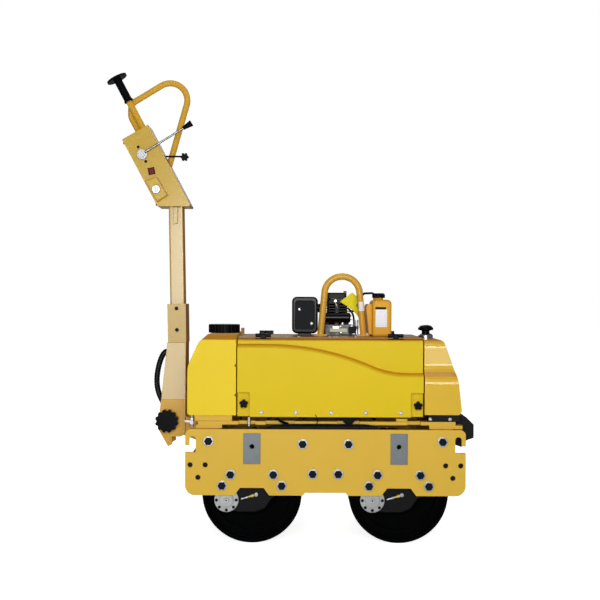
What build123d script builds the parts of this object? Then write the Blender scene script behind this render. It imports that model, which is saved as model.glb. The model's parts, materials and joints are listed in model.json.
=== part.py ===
from build123d import *
import os
from math import cos, radians, sin, tan

# A walk-behind vibratory roller with two drums, parked with its steering arm folded upright.
# Millimetres. +X is forward, +Y the machine's left, +Z up. The origin is on the ground, under the
# middle of the machine's whole length. A side view is drawn in u and z, where u is the distance
# forward of the middle between the two drums.

os.makedirs("parts", exist_ok=True)

# Drums
mid_x = 174.0
wheelbase = 625.0
drum_radius = 212.5
drum_width = 600.0
drum_wall = 14.5
drum_edge = 3.0
rim_radius = 168.0
rim_depth = 45.0
web_depth = 75.0
web_thickness = 14.0
hub_radius = 62.0
hub_proud = 12.0
hub_length = 42.0
ridge_radius = 104.0
axle_radius = 35.0
axle_gap = 0.3

# Side plates
plate_length = 1192.0
hook_inset = 44.5
plate_top = 487.0
plate_bottom = 206.0
plate_thickness = 14.0
plate_gap = 12.0
plate_top_corner = 24.0
plate_bottom_corner = 42.0
belly_half = 97.0
belly_rise = 12.0
arch_foot = 74.0
arch_crown = 50.0
arch_height = 32.0
hook_inner = plate_length / 2 - hook_inset
hook_width = 27.5
hook_top = 457.0
hook_bottom = 389.0
finger_bottom = 418.0
plain_hole_radius = 11.0

# Lashing pads on the side plates
pad_width = 72.0
pad_bottom = 340.0
pad_top = 470.0
pad_thickness = 4.0
pad_hole_z = 414.0
pad_hole_radius = 10.0

# Bolts through the side plates
washer_radius = 21.7
washer_thickness = 4.0
bolt_across = 30.0
bolt_head = 9.0

# Drum carriers
carrier_plate = 14.0
carrier_inset = 24.0
flange_u = -110.0
flange_z = -33.0
flange_radius = 52.0
flange_thickness = 12.0
flange_hub_radius = 30.0
flange_hub_proud = 7.0

# Bodywork
body_half = 300.0
cover_step = 28.0
upper_half = body_half - cover_step
skin = 4.0
seam = 5.0
cover_rear = -378.0
cover_front = 419.0
cover_bottom = 537.0
cover_top = 867.0
deck_top = 876.0
deck_thickness = 8.0
deck_half = upper_half - 41
tank_floor = 543.0
water_top = 888.0
water_shoulder_drop = 22.0
water_shoulder_run = 45.0
oil_floor = 548.0
oil_top = 868.0
bulkhead_thickness = 5.0
swing_gap = 5.5

# Frame between the side plates
beam_width = 90.0
beam_depth = 90.0
beam_wall = 6.0
beam_u = 497.5
centre_wall = 6.0
rail_inner = body_half - 65
rail_web = body_half - 28
rail_outer = body_half - 5
rail_height = 15.0
rail_rise = 16.0
rail_rear = -545.0
rail_front = 556.0

# Wave pressed across each side cover
wave_start_z = 846.0
wave_start_u = -250.0
wave_turn = 23.2
wave_fall = 450.0
wave_level = 148.0
wave_round = 0.68 * cover_step
wave_foot = 0.14 * cover_step
cover_inner = upper_half - 10
pocket_width = 54.0
pocket_height = 104.0
cover_edge = 9.0

# Cover hinges
hinge_y = deck_half + 5
hinge_z = cover_top + 17
hinge_pin_radius = 4.0
hinge_barrel_radius = 8.0
hinge_length = 67.0
hinge_gap = 0.3
leaf_thickness = 4.0
flange_inner = hinge_y + 4

# Lifting bail
bail_u = 80.0
bail_tube = 30.0
bail_crown_half = 72.6
bail_top = 1144.0
bail_foot_half = 97.5

# Steering arm
pivot_u = -700.0
pivot_z = 497.0
pin_radius = 14.0
pin_gap = 0.3
ear_inner = 50.0
ear_outer = 65.0
ear_radius = 42.0
cheek_inner = 67.0
cheek_outer = 75.0
doubler = 4.0
arm_top = 844.0
arm_front = -621.0
arm_rear_top = -704.0
sleeve_height = 173.0
sleeve_length = 82.0
column_length = 65.0
column_width = 80.0
column_wall = 5.0
column_top = 1454.0
column_lean = 1.2
column_axis_u = -661.5
column_axis_z = 930.0

# Control head
head_half = 80.0
head_lean = 28.2
head_wall = 3.0
handle_tube = 28.0
grip_radius = 18.0
grip_length = 113.0
disc_radius = 47.5
loop_y = 30.0
hose_radius = 12.5


def side_plane(y):
    """A side view at the given y: its x is u and its y is z."""
    return Plane(origin=(mid_x, y, 0), x_dir=(1, 0, 0), z_dir=(0, -1, 0))


def end_plane(u):
    """A view from the front at the given u: its x is y and its y is z."""
    return Plane(origin=(mid_x + u, 0, 0), x_dir=(0, 1, 0), z_dir=(1, 0, 0))


def finish(builder, name):
    """Label a finished piece and write its file."""
    builder.part.label = name
    export_step(builder.part, f"parts/{name}.step")


sides = (("right", -1), ("left", 1))
drums = (("rear", -wheelbase / 2), ("front", wheelbase / 2))
plate_inner = drum_width / 2 + plate_gap
plate_outer = plate_inner + plate_thickness
drum_end = drum_width / 2
axle_z = drum_radius
blade_dir = Vector(cos(radians(19.5)), sin(radians(19.5)))

# Bolts that hold the frame, columns u and z, repeated at minus u.
frame_bolts = ((beam_u, 436), (97.5, 425), (54.5, 298))
# Bolts that hold a drum carrier, columns u and z from the drum's axle and the buffer's radius,
# repeated at minus u.
carrier_bolts = ((91, 82, 28), (127, 35, 16))
# Plain holes near the ends of a side plate, columns u and z, repeated at minus u.
plain_holes = (
    (plate_length / 2 - 21, 335),
    (plate_length / 2 - 85, 335),
    (plate_length / 2 - 54.5, 282),
)


def side_bolts():
    """Places of every bolt on a side plate, as u and z."""
    places = [(way * u, z) for u, z in frame_bolts for way in (-1, 1)]
    for _, drum_u in drums:
        for u, z, _ in carrier_bolts:
            places += [(drum_u - u, axle_z + z), (drum_u + u, axle_z + z)]
    return places


# Side plates, with an arch over each drum's middle and a lashing hook at each end
for side, way in sides:
    with BuildPart() as plate:
        with BuildSketch(side_plane(way * plate_inner)) as plate_face:
            with Locations((0, (plate_top + plate_bottom) / 2)):
                Rectangle(plate_length, plate_top - plate_bottom)
            rows = plate_face.vertices().group_by(Axis.Y)
            fillet(rows[-1], plate_top_corner)
            rows = plate_face.vertices().group_by(Axis.Y)
            fillet(rows[0], plate_bottom_corner)
            Polygon(
                (-belly_half, plate_bottom),
                (belly_half, plate_bottom),
                (belly_half - belly_rise, plate_bottom + belly_rise),
                (belly_rise - belly_half, plate_bottom + belly_rise),
                align=None,
                mode=Mode.SUBTRACT,
            )
            for _, drum_u in drums:
                Polygon(
                    (drum_u - arch_foot, plate_bottom),
                    (drum_u + arch_foot, plate_bottom),
                    (drum_u + arch_crown, plate_bottom + arch_height),
                    (drum_u - arch_crown, plate_bottom + arch_height),
                    align=None,
                    mode=Mode.SUBTRACT,
                )
            for end in (-1, 1):
                slot_u = end * (hook_inner + hook_width / 2)
                slot_top = hook_top - hook_width / 2
                with Locations((slot_u, (slot_top + hook_bottom) / 2)):
                    Rectangle(hook_width, slot_top - hook_bottom, mode=Mode.SUBTRACT)
                with Locations((slot_u, slot_top)):
                    Circle(hook_width / 2, mode=Mode.SUBTRACT)
                mouth_u = end * (hook_inner + plate_length / 2) / 2
                with Locations((mouth_u, (finger_bottom + hook_bottom) / 2)):
                    Rectangle(
                        plate_length / 2 - hook_inner,
                        finger_bottom - hook_bottom,
                        mode=Mode.SUBTRACT,
                    )
            with Locations(*[(end * u, z) for u, z in plain_holes for end in (-1, 1)]):
                Circle(plain_hole_radius, mode=Mode.SUBTRACT)
            with Locations(*[(drum_u, pad_hole_z) for _, drum_u in drums]):
                Circle(pad_hole_radius, mode=Mode.SUBTRACT)
        extrude(amount=-way * plate_thickness)
    finish(plate, f"side_plate_{side}")

with BuildPart() as pads:
    for _, way in sides:
        with BuildSketch(side_plane(way * plate_outer)):
            with Locations(*[(drum_u, (pad_top + pad_bottom) / 2) for _, drum_u in drums]):
                Rectangle(pad_width, pad_top - pad_bottom)
            with Locations(*[(drum_u, pad_hole_z) for _, drum_u in drums]):
                Circle(pad_hole_radius, mode=Mode.SUBTRACT)
        extrude(amount=-way * pad_thickness)
finish(pads, "lashing_pads")

with BuildPart() as bolts:
    for _, way in sides:
        with BuildSketch(side_plane(way * plate_outer)):
            with Locations(*side_bolts()):
                Circle(washer_radius)
        extrude(amount=-way * washer_thickness)
        with BuildSketch(side_plane(way * (plate_outer + washer_thickness))):
            with Locations(*side_bolts()):
                RegularPolygon(bolt_across / 2, 6, major_radius=False)
        extrude(amount=-way * bolt_head)
finish(bolts, "plate_bolts")

# Drums: a rolled shell with a stepped rim, a web and a bearing hub at each end
for name, drum_u in drums:
    axle = Axis((mid_x + drum_u, 0, axle_z), (0, 1, 0))
    web_face = drum_end - web_depth
    web_back = web_face - web_thickness
    hub_face = web_face + hub_proud
    inside = drum_radius - drum_wall
    bore = axle_radius + axle_gap
    half = [
        (drum_radius, drum_end - drum_edge),
        (drum_radius - drum_edge, drum_end),
        (inside, drum_end),
        (inside, drum_end - rim_depth),
        (rim_radius, drum_end - rim_depth),
        (rim_radius, web_face),
        (ridge_radius + 3, web_face),
        (ridge_radius, web_face + 4),
        (ridge_radius - 3, web_face),
        (hub_radius, web_face),
        (hub_radius, hub_face),
        (bore, hub_face),
        (bore, hub_face - hub_length),
        (hub_radius, hub_face - hub_length),
        (hub_radius, web_back),
        (inside, web_back),
    ]
    with BuildPart() as drum:
        with BuildSketch(Plane(origin=(mid_x + drum_u, 0, axle_z))):
            Polygon(*half, *[(r, -y) for r, y in reversed(half)], align=None)
        revolve(axis=axle)
    finish(drum, f"{name}_drum")

# Drum carriers: a plate in each drum's recess, with its stub axle and rubber buffers, and the
# bolted bearing flange of the drive
carrier_face = drum_end - carrier_inset
carrier_back = carrier_face - carrier_plate
stub_end = drum_end - web_depth + hub_proud - hub_length + 4
with BuildPart() as carriers:
    for _, way in sides:
        for _, drum_u in drums:
            with BuildSketch(side_plane(way * carrier_back)) as carrier_outline:
                with Locations((drum_u, axle_z)):
                    Polygon(
                        (-62, -85),
                        (12, -85),
                        (52, -70),
                        (84, -26),
                        (158, 5),
                        (158, 55),
                        (118, 116),
                        (-118, 116),
                        (-158, 55),
                        (-158, -60),
                        align=None,
                    )
                fillet(carrier_outline.vertices(), 12)
            extrude(amount=-way * carrier_plate)
            with BuildSketch(side_plane(way * carrier_face)):
                for u, z, radius in carrier_bolts:
                    with Locations((drum_u - u, axle_z + z), (drum_u + u, axle_z + z)):
                        Circle(radius)
            extrude(amount=-way * (plate_inner - carrier_face))
            with BuildSketch(side_plane(way * carrier_back)):
                with Locations((drum_u, axle_z)):
                    Circle(axle_radius)
            extrude(amount=way * (carrier_back - stub_end))
finish(carriers, "drum_carriers")

with BuildPart() as flanges:
    for _, way in sides:
        for _, drum_u in drums:
            with BuildSketch(side_plane(way * carrier_face)):
                with Locations((drum_u + flange_u, axle_z + flange_z)):
                    Circle(flange_radius)
            extrude(amount=-way * flange_thickness)
            with BuildSketch(side_plane(way * (carrier_face + flange_thickness))):
                with Locations((drum_u + flange_u, axle_z + flange_z)):
                    Circle(flange_hub_radius)
            extrude(amount=-way * flange_hub_proud)
finish(flanges, "drive_flanges")

# Frame: a box beam at each end and a hopper-shaped box between the drums
with BuildPart() as beams:
    for end in (-1, 1):
        with BuildSketch(side_plane(plate_inner)):
            with Locations((end * beam_u, plate_top - beam_depth / 2)):
                Rectangle(beam_width, beam_depth)
                Rectangle(
                    beam_width - 2 * beam_wall, beam_depth - 2 * beam_wall, mode=Mode.SUBTRACT
                )
        extrude(amount=2 * plate_inner)
finish(beams, "end_beams")

with BuildPart() as centre:
    with BuildSketch(side_plane(plate_inner)) as centre_section:
        Polygon(
            (-118, plate_top),
            (118, plate_top),
            (118, 400),
            (78, 262),
            (-78, 262),
            (-118, 400),
            align=None,
        )
        offset(amount=-centre_wall, mode=Mode.SUBTRACT)
    extrude(amount=2 * plate_inner)
finish(centre, "centre_frame")

# Deck rails along each side, on feet that stand on the end beams. The outer lip is broken where
# hoses pass, and a bracket stands under each cover's front end.
rail_bottom = plate_top + rail_rise
rail_top = rail_bottom + rail_height
lip_spans = ((rail_rear, -372), (-299, -256), (-132, 52), (146, 351), (407, rail_front))
with BuildPart() as rails:
    for _, way in sides:
        with BuildSketch(side_plane(way * rail_inner)):
            Polygon(
                (rail_rear, rail_bottom),
                (rail_rear - 9, rail_bottom),
                (rail_rear - 9, plate_top),
                (-442, plate_top),
                (-442, rail_bottom),
                (444, rail_bottom),
                (444, plate_top),
                (rail_front + 30, plate_top),
                (rail_front + 30, rail_bottom),
                (rail_front, rail_bottom),
                (rail_front, rail_top),
                (rail_rear, rail_top),
                align=None,
            )
        extrude(amount=-way * (rail_web - rail_inner))
        with BuildSketch(side_plane(way * rail_web)):
            for rear, front in lip_spans:
                with Locations(((rear + front) / 2, (rail_bottom + rail_top) / 2)):
                    Rectangle(front - rear, rail_height)
            for rear, front in ((rail_rear - 9, -442), (444, rail_front + 30)):
                with Locations(((rear + front) / 2, (plate_top + rail_bottom) / 2)):
                    Rectangle(front - rear, rail_bottom - plate_top)
        extrude(amount=-way * (rail_outer - rail_web))
        with BuildSketch(side_plane(way * rail_web)):
            with Locations((327, rail_top + 6)):
                Rectangle(47, 12)
        extrude(amount=-way * 16)
finish(rails, "deck_rails")

# Scrapers at both ends: an angle bar on end plates bolted to the side plates, with a rubber blade
# that stops just short of the drum
with BuildPart() as scrapers:
    for end in (-1, 1):
        with BuildSketch(side_plane(plate_inner)):
            Polygon(
                (end * (plate_length / 2 - 96), 352),
                (end * (plate_length / 2 - 6), 352),
                (end * (plate_length / 2 - 6), 320),
                (end * (plate_length / 2 - 40), 264),
                (end * (plate_length / 2 - 68), 264),
                (end * (plate_length / 2 - 96), 320),
                align=None,
            )
        extrude(amount=2 * plate_inner)
        with BuildSketch(side_plane(plate_inner - 6)):
            with Locations((end * (plate_length / 2 - 50), 300)):
                Rectangle(120, 140)
        extrude(amount=2 * (plate_inner - 6), mode=Mode.SUBTRACT)
        blade_tip = Vector(wheelbase / 2, axle_z) + blade_dir * (drum_radius + 5.2)
        blade_root = Vector(wheelbase / 2, axle_z) + blade_dir * (drum_radius + 52)
        across = Vector(-blade_dir.Y, blade_dir.X) * 5
        with BuildSketch(side_plane(plate_inner - 6)):
            Polygon(
                *[
                    (end * corner.X, corner.Y)
                    for corner in (
                        blade_tip - across,
                        blade_root - across,
                        blade_root + across,
                        blade_tip + across,
                    )
                ],
                align=None,
            )
            Polygon(
                (end * (plate_length / 2 - 40), 296),
                (end * (plate_length / 2 - 33), 292),
                (end * (plate_length / 2 - 6), 346),
                (end * (plate_length / 2 - 6), 352),
                (end * (plate_length / 2 - 78), 352),
                (end * (plate_length / 2 - 78), 346),
                (end * (plate_length / 2 - 14), 346),
                align=None,
            )
        extrude(amount=2 * (plate_inner - 6))
finish(scrapers, "scrapers")

# Hoses along the frame, inside the side plates
with BuildPart() as hoses:
    for _, way in sides:
        with BuildLine(side_plane(way * (plate_inner - 9))) as run:
            FilletPolyline(
                (-266, 462),
                (-222, plate_top + 6.6),
                (215, plate_top + 6.6),
                (256, 462),
                radius=34,
            )
        run_path = run.wires()[0]
        with BuildSketch(Plane(origin=run_path @ 0, z_dir=run_path % 0)):
            Circle(6.5)
        sweep(path=run_path)
finish(hoses, "frame_hoses")

# Grease fitting on each drum carrier: a slanting tube with a collar and an end block
fitting_foot = (-48.0, -29.5)
fitting_tip = (17.0, -10.0)
fitting_run = Vector(fitting_tip[0] - fitting_foot[0], 0, fitting_tip[1] - fitting_foot[1])
with BuildPart() as fitting_tubes:
    for _, way in sides:
        fitting_y = way * (carrier_face + 7.5)
        for _, drum_u in drums:
            foot = Vector(
                mid_x + drum_u + fitting_foot[0], fitting_y, axle_z + fitting_foot[1]
            )
            for start, reach, radius in ((0, 1, 4.5), (0.3, 0.16, 6.5), (0.66, 0.2, 6.5)):
                origin = foot + fitting_run * start
                with BuildSketch(Plane(origin=origin, z_dir=fitting_run.normalized())):
                    Circle(radius)
                extrude(amount=fitting_run.length * reach)
            with BuildSketch(side_plane(way * carrier_face)):
                with Locations((drum_u + fitting_tip[0], axle_z + fitting_tip[1])):
                    Circle(8)
            extrude(amount=-way * 13)
finish(fitting_tubes, "drum_fittings")

# Drain tap under the water tank's rear corner
tap_u = -572.0
tap_y = -(body_half - 20)
with BuildPart() as tap:
    with BuildSketch(Plane.XY.offset(tank_floor)):
        with Locations((mid_x + tap_u, tap_y)):
            Circle(7)
    extrude(amount=-50)
    with BuildSketch(Plane.XY.offset(tank_floor - 12)):
        with Locations((mid_x + tap_u, tap_y)):
            RegularPolygon(11, 6)
    extrude(amount=-9)
    with BuildSketch(side_plane(tap_y + 14)):
        with Locations((tap_u, tank_floor - 32)):
            Circle(8)
    extrude(amount=28)
    with BuildSketch(side_plane(tap_y - 14)):
        with Locations((tap_u - 12, tank_floor - 26)):
            Rectangle(36, 8)
    extrude(amount=4)
finish(tap, "drain_tap")

# Black rubber strips that carry the two tanks
with BuildPart() as strips:
    for rear, front, top in ((-560, -400, tank_floor), (440, 575, oil_floor)):
        with BuildSketch(Plane.XY.offset(rail_top)):
            with Locations(*[(mid_x + (rear + front) / 2, way * 268) for _, way in sides]):
                Rectangle(front - rear, 46)
        extrude(amount=top - rail_top)
finish(strips, "tank_strips")

# Bulkheads at both ends of the engine bay, inside the covers' end walls
with BuildPart() as bulkheads:
    for bulkhead_u in (
        cover_rear + skin + swing_gap,
        cover_front - skin - swing_gap - bulkhead_thickness,
    ):
        with BuildSketch(end_plane(bulkhead_u)):
            with Locations((0, (rail_top + deck_top - deck_thickness) / 2)):
                Rectangle(2 * deck_half, deck_top - deck_thickness - rail_top)
        extrude(amount=bulkhead_thickness)
finish(bulkheads, "bulkheads")

# Deck over the engine bay, open where the engine comes through
with BuildPart() as deck:
    with BuildSketch(Plane.XY.offset(deck_top - deck_thickness)):
        with Locations((mid_x + (cover_rear + cover_front) / 2, 0)):
            Rectangle(cover_front - cover_rear, 2 * deck_half)
        with Locations((mid_x + 72, 142)):
            Rectangle(160, 160, mode=Mode.SUBTRACT)
    extrude(amount=deck_thickness)
    with BuildSketch(Plane.XY.offset(deck_top)):
        with Locations((mid_x - 370, 0)):
            Rectangle(14, 26)
    extrude(amount=34)
finish(deck, "deck_plate")

# Water tank: a moulded block with a rounded back and a bevelled shoulder on each side
with BuildPart() as water:
    with BuildSketch(side_plane(body_half)) as water_outline:
        Polygon(
            (cover_rear - seam, tank_floor),
            (cover_rear - seam, water_top),
            (-508, water_top),
            (-545, 854),
            (-591, 752),
            (-591, tank_floor),
            align=None,
        )
        corners = water_outline.vertices().sort_by(Axis.X)
        fillet(corners[0:2].sort_by(Axis.Y)[0], 14)
        fillet(water_outline.vertices().sort_by_distance((-591, 752))[0], 120)
        fillet(water_outline.vertices().sort_by_distance((-545, 854))[0], 60)
    extrude(amount=2 * body_half)
    with BuildSketch(end_plane(-620)):
        for way in (-1, 1):
            Polygon(
                (way * (body_half - water_shoulder_run), water_top),
                (way * body_half, water_top),
                (way * body_half, water_top - water_shoulder_drop),
                align=None,
            )
    extrude(amount=260, mode=Mode.SUBTRACT)
finish(water, "water_tank")

cap_radius = 71.0
cap_height = 38.0
with BuildPart() as water_cap:
    with BuildSketch(Plane.XY.offset(water_top)) as cap_face:
        with Locations((mid_x - 454, 0)):
            Circle(cap_radius)
            with PolarLocations(cap_radius + 2, 24):
                Circle(4, mode=Mode.SUBTRACT)
    extrude(amount=cap_height)
    chamfer(water_cap.faces().sort_by(Axis.Z)[-1].edges(), 3)
finish(water_cap, "water_cap")

# Oil tank at the front: welded sheet, with the cover's step carried across its sides
with BuildPart() as oil:
    with BuildSketch(side_plane(body_half)) as oil_outline:
        Polygon(
            (cover_front + seam, oil_floor),
            (cover_front + seam, oil_top),
            (507, oil_top),
            (568, 698),
            (583, 562),
            (570, oil_floor),
            align=None,
        )
        fillet(oil_outline.vertices().sort_by_distance((568, 698))[0], 220)
        fillet(oil_outline.vertices().sort_by_distance((507, oil_top))[0], 26)
        fillet(oil_outline.vertices().sort_by_distance((583, 562))[0], 14)
    extrude(amount=2 * body_half)
    with BuildSketch(end_plane(400)):
        for way in (-1, 1):
            Polygon(
                (way * body_half, 700),
                (way * (body_half - 4), 712),
                (way * (upper_half + 4), 730),
                (way * upper_half, 744),
                (way * upper_half, oil_top - 16),
                (way * (upper_half - 5), oil_top - 5),
                (way * (upper_half - 16), oil_top),
                (way * (body_half + 1), oil_top),
                (way * (body_half + 1), 700),
                align=None,
            )
    extrude(amount=200, mode=Mode.SUBTRACT)
finish(oil, "oil_tank")

with BuildPart() as breather:
    with BuildSketch(Plane(origin=(mid_x + 460, 0, oil_top), x_dir=(1, 0, 0), z_dir=(0, -1, 0))):
        Polygon(
            (0, 0),
            (33, 0),
            (33, 12),
            (27, 18),
            (18, 20),
            (18, 32),
            (34, 36),
            (35, 44),
            (26, 54),
            (12, 58),
            (0, 58),
            align=None,
        )
    revolve(axis=Axis((mid_x + 460, 0, 0), (0, 0, 1)))
finish(breather, "breather_cap")


def cover_form(inset, way):
    """The side cover's outer form, drawn in by the inset on every face but the inner one."""
    rear = cover_rear + inset
    front = cover_front - inset
    bottom = cover_bottom - inset
    crest = wave_start_z - inset
    with BuildPart() as form:
        with BuildSketch(side_plane(way * (cover_inner - inset))):
            with Locations(((rear + front) / 2, (bottom + cover_top - inset) / 2)):
                Rectangle(front - rear, cover_top - inset - bottom)
        extrude(amount=-way * (upper_half - cover_inner))
        with BuildSketch(side_plane(way * (cover_inner - inset))):
            with BuildLine():
                start = Line((rear, crest), (wave_start_u, crest))
                fall = JernArc(
                    start @ 1,
                    (1, 0),
                    wave_fall / sin(radians(wave_turn)) - inset,
                    -wave_turn,
                )
                level = JernArc(
                    fall @ 1,
                    fall % 1,
                    wave_level / sin(radians(wave_turn)) + inset,
                    wave_turn,
                )
                Line(level @ 1, (front, (level @ 1).Y))
                Polyline(
                    (front, (level @ 1).Y),
                    (front, cover_bottom + pocket_height + inset),
                    (front - pocket_width, cover_bottom + pocket_height + inset),
                    (front - pocket_width, bottom),
                    (rear + pocket_width, bottom),
                    (rear + pocket_width, cover_bottom + pocket_height + inset),
                    (rear, cover_bottom + pocket_height + inset),
                    (rear, crest),
                )
            make_face()
        extrude(amount=-way * (body_half - cover_inner))
        crease_low = (level @ 1).Y - 1
        crease_ends = (mid_x + rear + 1, mid_x + front - 1)
        for half, radius in ((body_half, wave_round - inset), (upper_half, wave_foot + inset)):
            face_y = way * (half - inset)
            crease = form.edges().filter_by_position(Axis.Y, face_y - 0.1, face_y + 0.1)
            crease = crease.filter_by_position(Axis.X, *crease_ends)
            crease = crease.filter_by_position(Axis.Z, crease_low, cover_top - inset - 1)
            fillet(crease, radius)
        rim = form.edges().filter_by(Axis.X).group_by(Axis.Z)[-1]
        rim = rim.filter_by_position(Axis.Y, *sorted((way * 265, way * 301)))
        fillet(rim, cover_edge - inset)
    return form.part


for side, way in sides:
    with BuildPart() as cover:
        add(cover_form(0, way))
        add(cover_form(skin, way), mode=Mode.SUBTRACT)
        with BuildSketch(Plane.XY.offset(cover_top - skin)):
            with Locations(
                (mid_x + (cover_rear + cover_front) / 2, way * (flange_inner + cover_inner + 4) / 2)
            ):
                Rectangle(cover_front - cover_rear, cover_inner + 4 - flange_inner)
        extrude(amount=skin)
    finish(cover, f"cover_{side}")

# Hinges at the top of each side cover. The seats, with pin and outer knuckles, are on the deck's
# edge; the leaves, with the middle knuckle, are on the covers' flanges, above the star knobs that
# hold the covers' lower corners.
hinge_us = (-269.5, 304.0)
knuckle_half = 11.0
knuckle_gap = 1.0
seat_reach = 28.0
leaf_reach = 20.0
knob_places = ((-350.0, 592.0), (397.0, 586.0))


outer_low = -hinge_length / 2
with BuildPart() as seats:
    for _, way in sides:
        seat_y = way * (hinge_y - hinge_barrel_radius)
        for hinge_u in hinge_us:
            with BuildSketch(end_plane(hinge_u + outer_low)):
                with Locations((way * hinge_y, hinge_z)):
                    Circle(hinge_pin_radius)
            extrude(amount=hinge_length)
            with BuildSketch(Plane.XY.offset(deck_top)):
                with Locations((mid_x + hinge_u, seat_y - way * seat_reach / 2)):
                    Rectangle(hinge_length, seat_reach)
            extrude(amount=leaf_thickness)
            for low in (outer_low, knuckle_half + knuckle_gap):
                with BuildSketch(end_plane(hinge_u + low)):
                    with Locations((way * hinge_y, hinge_z)):
                        Circle(hinge_barrel_radius)
                    Polygon(
                        (way * hinge_y, deck_top),
                        (seat_y, deck_top),
                        (seat_y, hinge_z),
                        (way * hinge_y, hinge_z),
                        align=None,
                    )
                extrude(amount=-outer_low - knuckle_half - knuckle_gap)
finish(seats, "hinge_seats")

for side, way in sides:
    with BuildPart() as fittings:
        leaf_edge = way * (hinge_y + hinge_barrel_radius)
        for hinge_u in hinge_us:
            with BuildSketch(Plane.XY.offset(cover_top)):
                with Locations((mid_x + hinge_u, leaf_edge + way * leaf_reach / 2)):
                    Rectangle(hinge_length, leaf_reach)
            extrude(amount=leaf_thickness)
            with BuildSketch(end_plane(hinge_u - knuckle_half)):
                with Locations((way * hinge_y, hinge_z)):
                    Circle(hinge_barrel_radius)
                Polygon(
                    (way * hinge_y, hinge_z),
                    (way * (hinge_y + 2), cover_top),
                    (leaf_edge + way, cover_top),
                    (leaf_edge, hinge_z),
                    align=None,
                )
                with Locations((way * hinge_y, hinge_z)):
                    Circle(hinge_pin_radius + hinge_gap, mode=Mode.SUBTRACT)
            extrude(amount=2 * knuckle_half)
        for knob_u, knob_z in knob_places:
            with BuildSketch(side_plane(way * upper_half)):
                with Locations((knob_u, knob_z)):
                    Circle(7)
            extrude(amount=-way * 8)
            with BuildSketch(side_plane(way * (upper_half + 8))):
                with Locations((knob_u, knob_z)):
                    Circle(14)
                    with PolarLocations(12, 5, start_angle=90):
                        Circle(7)
            extrude(amount=-way * 16)
    finish(fittings, f"cover_fittings_{side}")

# Lifting bail: one bent tube whose legs splay down to feet on the deck
with BuildPart() as bail:
    with BuildLine(side_plane(0)) as bail_line:
        FilletPolyline(
            (bail_u - bail_foot_half, deck_top + 2),
            (bail_u - bail_crown_half, bail_top),
            (bail_u + bail_crown_half, bail_top),
            (bail_u + bail_foot_half, deck_top + 2),
            radius=bail_crown_half + 5,
        )
    bail_path = bail_line.wires()[0]
    with BuildSketch(Plane(origin=bail_path @ 0, z_dir=bail_path % 0)):
        Circle(bail_tube / 2)
    sweep(path=bail_path)
    with BuildSketch(Plane.XY.offset(deck_top)):
        with Locations(*[(mid_x + bail_u + end * bail_foot_half, 0) for end in (-1, 1)]):
            Rectangle(58, 46)
    extrude(amount=6)
finish(bail, "lifting_bail")

# Engine: a plain block between deck and frame, with its open upper works above the deck
engine_y = 142.0
engine_u = 62.0
with BuildPart() as block:
    with BuildSketch(Plane.XY.offset(plate_top)) as block_base:
        with Locations((mid_x + 20, 10)):
            Rectangle(230, 330)
        fillet(block_base.vertices(), 25)
    extrude(amount=360)
    with BuildSketch(Plane.XY.offset(plate_top + 360)):
        with Locations((mid_x + engine_u, engine_y)):
            Rectangle(130, 130)
    extrude(amount=deck_top - plate_top - 360)
finish(block, "engine_block")

fin_pitch = 12.0
fin_thickness = 4.0
fin_length = 112.0
fin_width = 126.0
with BuildPart() as cylinder:
    with BuildSketch(Plane.XY.offset(deck_top)) as crank_face:
        with Locations((mid_x + engine_u, engine_y)):
            Rectangle(132, 132)
        fillet(crank_face.vertices(), 12)
    extrude(amount=48)
    with BuildSketch(Plane.XY.offset(deck_top + 48)):
        with Locations((mid_x + engine_u, engine_y)):
            Circle(48)
    extrude(amount=96)
    for count in range(7):
        with BuildSketch(Plane.XY.offset(deck_top + 60 + count * fin_pitch)) as fin_face:
            with Locations((mid_x + engine_u, engine_y)):
                Rectangle(fin_length, fin_width)
            fillet(fin_face.vertices(), 18)
        extrude(amount=fin_thickness)
    with BuildSketch(side_plane(engine_y - 66)):
        with Locations((engine_u + 38, deck_top + 27)):
            Rectangle(60, 44)
    extrude(amount=40)
finish(cylinder, "engine_cylinder")

with BuildPart() as rocker:
    with BuildSketch(Plane.XY.offset(deck_top + 144)) as rocker_face:
        with Locations((mid_x + engine_u - 4, engine_y)):
            Rectangle(92, 120)
        fillet(rocker_face.vertices(), 10)
    extrude(amount=52)
    fillet(rocker.faces().sort_by(Axis.Z)[-1].edges(), 8)
finish(rocker, "rocker_cover")

muffler_radius = 23.0
muffler_z = 957.0
with BuildPart() as muffler:
    with BuildSketch(end_plane(-4)):
        with Locations((44, muffler_z)):
            Circle(muffler_radius)
    extrude(amount=124)
    chamfer(muffler.edges().filter_by(GeomType.CIRCLE), 5)
    with BuildSketch(side_plane(44)):
        with Locations((engine_u, muffler_z)):
            Circle(13)
    extrude(amount=-(engine_y - fin_width / 2 - 44))
finish(muffler, "muffler")

# Recoil starter on the engine's left face
with BuildPart() as starter:
    with BuildSketch(side_plane(engine_y + 66)):
        with Locations((engine_u, deck_top + 66)):
            Circle(60)
    extrude(amount=-14)
    with BuildSketch(side_plane(engine_y + 80)):
        with Locations((engine_u, deck_top + 66)):
            Circle(40)
            with PolarLocations(30, 8):
                Circle(5, mode=Mode.SUBTRACT)
    extrude(amount=-8)
finish(starter, "recoil_starter")

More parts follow.
